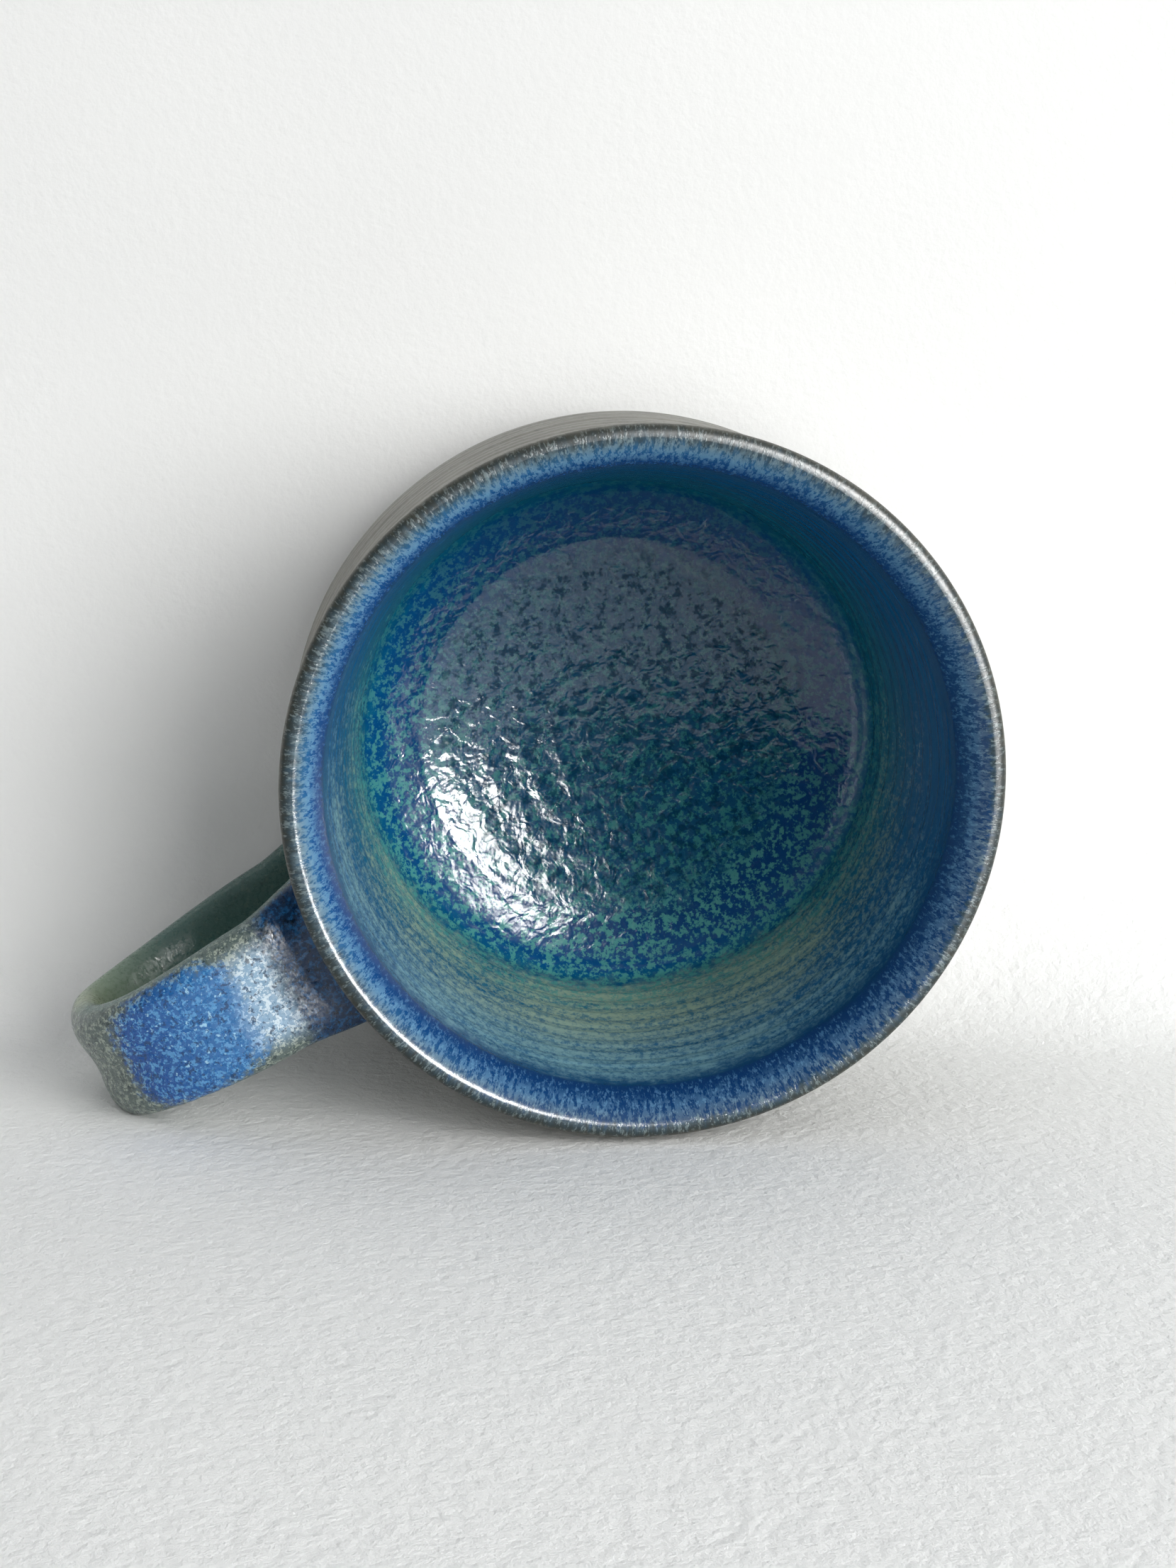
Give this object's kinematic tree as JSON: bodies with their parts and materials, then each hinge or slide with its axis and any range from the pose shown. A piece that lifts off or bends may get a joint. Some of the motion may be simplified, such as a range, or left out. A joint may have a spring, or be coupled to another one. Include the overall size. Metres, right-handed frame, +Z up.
{
  "type": "shaving mug",
  "caption": "Low, wide hand-thrown stoneware shaving mug with a flared lip, a round-cornered cavity for soap lather and a broad pulled strap handle.",
  "frame": {"origin": "centre of the flat base, on the surface that the mug stands on", "axes": "+Z up along the cup's axis to the mouth, +X out through the handle, +Y to the side that completes a right-handed frame"},
  "size_m": [0.1372, 0.0966, 0.061],
  "materials": {
    "bare_clay": "fired stoneware, matt and slightly gritty, with iron specks",
    "luting_clay": "fired slip and coil of the same clay, smoothed with a finger",
    "inside_glaze": "glossy mottled teal and deep blue glaze, cornflower blue and speckled on the lip",
    "outside_glaze": "satin grey-green glaze with fine throwing lines, dark where it breaks over the lip",
    "handle_glaze": "glossy speckled cornflower blue, grey-green where it breaks over the edges"
  },
  "bodies": {
    "root": {"cup_clay": "bare_clay", "handle_clay": "bare_clay", "upper_luting": "luting_clay", "lower_luting": "luting_clay", "inside_glaze": "inside_glaze", "outside_glaze": "outside_glaze", "handle_glaze": "handle_glaze"}
  },
  "joints": []
}
